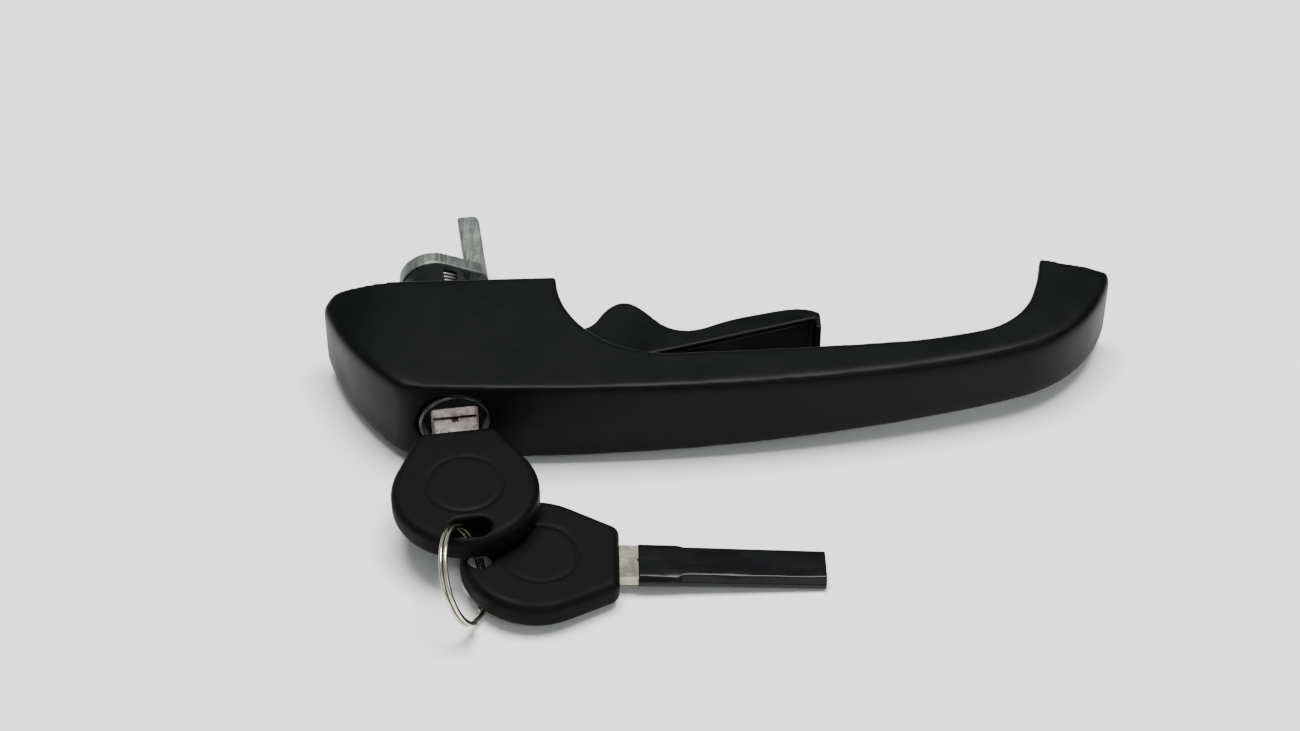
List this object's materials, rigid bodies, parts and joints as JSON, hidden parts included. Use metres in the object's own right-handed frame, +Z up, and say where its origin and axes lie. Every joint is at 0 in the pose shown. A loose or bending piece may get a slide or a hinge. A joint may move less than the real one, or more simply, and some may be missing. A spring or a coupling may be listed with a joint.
{
  "type": "car door handle",
  "caption": "Black pull-type car door handle with a trigger behind the grip, a key lock in the wide end, and two keys on a split ring.",
  "frame": {"origin": "centre of the lock-end fixing screw hole, on the plane of the door skin", "axes": "+X along the handle from the lock end to the foot, +Y into the door, +Z up"},
  "size_m": [0.1937, 0.131, 0.0276],
  "materials": {
    "black_coat": "satin",
    "black_metal": "satin",
    "zinc": "as cast",
    "steel": "bright",
    "nickel": "polished",
    "brass": "machined",
    "key_rubber": "matte",
    "sleeve_plastic": "gloss"
  },
  "bodies": {
    "handle": {"handle_body": "black_coat", "lock_cap": "black_metal", "lock_barrel": "black_metal", "spring_cup": "black_metal", "lock_return_spring": "steel", "trigger_pin": "steel", "trigger_spring": "steel"},
    "trigger": {"trigger": "black_coat", "adjusting_screw": "steel", "lock_nut": "steel"},
    "plug": {"lock_plug": "black_metal", "keyway_plate": "steel", "wafers": "brass", "wafer_springs": "steel", "crank_lever": "zinc", "plug_clip": "steel"},
    "key_1": {"key_1_blade": "nickel", "key_1_head": "key_rubber"},
    "ring": {"split_ring": "nickel"},
    "key_2": {"key_2_blade": "nickel", "key_2_head": "key_rubber", "blade_sleeve": "sleeve_plastic"}
  },
  "joints": [
    {"name": "trigger_pull", "type": "hinge", "parent": "handle", "child": "trigger", "pos_m": [0.044, -0.012, 0], "axis": [0, 0, -1], "range_deg": [0, 12], "stiffness_Nm_per_rad": 1, "springref_deg": -11.46},
    {"name": "lock_turn", "type": "hinge", "parent": "handle", "child": "plug", "pos_m": [0.0211, -0.0359, 0], "axis": [-0.1045, 0.9945, 0], "range_deg": [-50, 50], "stiffness_Nm_per_rad": 0.25},
    {"name": "key_draw", "type": "slide", "parent": "plug", "child": "key_1", "axis": [0.1045, -0.9945, 0], "range_m": [0, 0.042]},
    {"name": "ring_swing", "type": "hinge", "parent": "key_1", "child": "ring", "pos_m": [0.024, -0.0721, 0], "axis": [0, 0, 1], "range_deg": [-8, 8]},
    {"name": "key_2_swing", "type": "hinge", "parent": "ring", "child": "key_2", "pos_m": [0.0266, -0.0733, -0.0075], "axis": [0, 0, 1], "range_deg": [-12, 12]}
  ]
}
